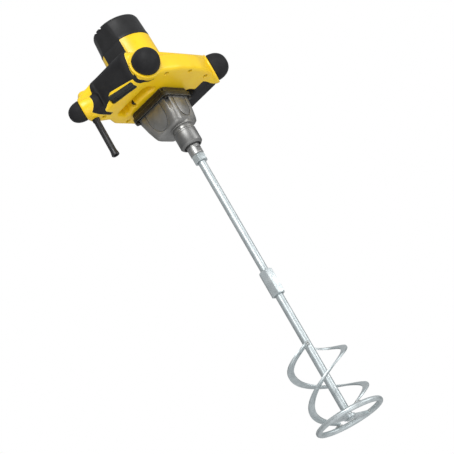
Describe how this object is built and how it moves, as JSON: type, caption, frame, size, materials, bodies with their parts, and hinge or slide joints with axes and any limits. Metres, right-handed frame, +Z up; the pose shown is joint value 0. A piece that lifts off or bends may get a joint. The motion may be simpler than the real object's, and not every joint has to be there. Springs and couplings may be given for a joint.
{
  "type": "drill paint mixer",
  "caption": "Twin-handle electric hand mixer: motor head with rubber bumpers and a trigger, reduction gearbox, and a long rod with a double-helix stirring paddle.",
  "frame": {"origin": "on the output spindle's axis, at the paddle's foot", "axes": "+Z up along the spindle, -X towards the handle with the trigger, -Y towards the narrow front with the large bumpers"},
  "size_m": [0.2994, 0.1797, 0.8],
  "materials": {
    "yellow_plastic": "satin moulded",
    "black_plastic": "fine moulded grain",
    "black_rubber": "matte soft-touch",
    "cast_aluminium": "as cast",
    "dark_casting": "dark, as cast",
    "zinc_plated_steel": "zinc plated",
    "machined_steel": "turned",
    "blackened_steel": "blackened",
    "copper": null,
    "lamination_steel": "stacked sheet",
    "trigger_plastic": "fine moulded grain",
    "circuit_board": "lacquered",
    "carbon": "pressed carbon"
  },
  "bodies": {
    "head": {"armature_bearing_lower": "machined_steel", "armature_bearing_upper": "machined_steel", "brush_holder_left": "black_plastic", "brush_holder_right": "black_plastic", "bumper_front_left": "black_rubber", "bumper_front_right": "black_rubber", "bumper_rear_left": "black_rubber", "bumper_rear_right": "black_rubber", "carbon_brush_left": "carbon", "carbon_brush_right": "carbon", "cord_sleeve": "black_rubber", "field_coil_lower": "copper", "field_coil_upper": "copper", "flange_screw_1": "blackened_steel", "flange_screw_2": "blackened_steel", "flange_screw_3": "blackened_steel", "flange_screw_4": "blackened_steel", "gear_housing": "cast_aluminium", "gearbox_flange": "dark_casting", "grip_left": "black_rubber", "grip_right": "black_rubber", "housing_screw_front_left": "blackened_steel", "housing_screw_front_middle": "blackened_steel", "housing_screw_front_right": "blackened_steel", "housing_screw_rear_left": "blackened_steel", "housing_screw_rear_right": "blackened_steel", "idler_bearing_lower": "machined_steel", "lower_housing": "yellow_plastic", "motor_cap": "black_plastic", "side_panel_left": "black_plastic", "side_panel_right": "black_plastic", "speed_board": "circuit_board", "spindle_bearing_lower": "machined_steel", "spindle_bearing_upper": "machined_steel", "spindle_collar": "machined_steel", "spindle_seal": "black_rubber", "stator_core": "lamination_steel", "switch_body": "black_plastic", "trigger_spring": "machined_steel", "upper_housing": "yellow_plastic"},
    "spindle_and_paddle": {"spindle": "machined_steel", "spindle_gear": "machined_steel", "paddle_nut": "zinc_plated_steel", "upper_rod": "zinc_plated_steel", "coupling_sleeve": "zinc_plated_steel", "lower_rod": "zinc_plated_steel", "helix_blade_a": "zinc_plated_steel", "helix_blade_b": "zinc_plated_steel", "paddle_ring": "zinc_plated_steel", "cross_bar": "zinc_plated_steel"},
    "idler": {"idler_shaft": "machined_steel", "idler_pinion": "machined_steel", "idler_gear": "machined_steel"},
    "armature": {"armature_shaft": "machined_steel", "armature_pinion": "machined_steel", "armature_core": "lamination_steel", "commutator": "copper", "cooling_fan": "black_plastic"},
    "trigger": {"trigger": "trigger_plastic"}
  },
  "joints": [
    {"name": "spindle_spin", "type": "hinge", "parent": "head", "child": "spindle_and_paddle", "pos_m": [0, 0, 0.55], "axis": [0, 0, 1], "continuous": true},
    {"name": "idler_spin", "type": "hinge", "parent": "head", "child": "idler", "pos_m": [0.01421, 0.01934, 0.6], "axis": [0, 0, 1], "continuous": true},
    {"name": "armature_spin", "type": "hinge", "parent": "head", "child": "armature", "pos_m": [0, 0.017, 0.7], "axis": [0, 0, 1], "continuous": true},
    {"name": "trigger_press", "type": "slide", "parent": "head", "child": "trigger", "axis": [0.7071, 0, 0.7071], "range_m": [0, 0.0045], "stiffness_N_per_m": 600, "springref_m": -0.002, "deforming": ["trigger_spring"]}
  ],
  "couplings": [
    {"joint": "idler_spin", "follows": "spindle_spin", "ratio": -3.3636},
    {"joint": "armature_spin", "follows": "spindle_spin", "ratio": 16.818}
  ]
}
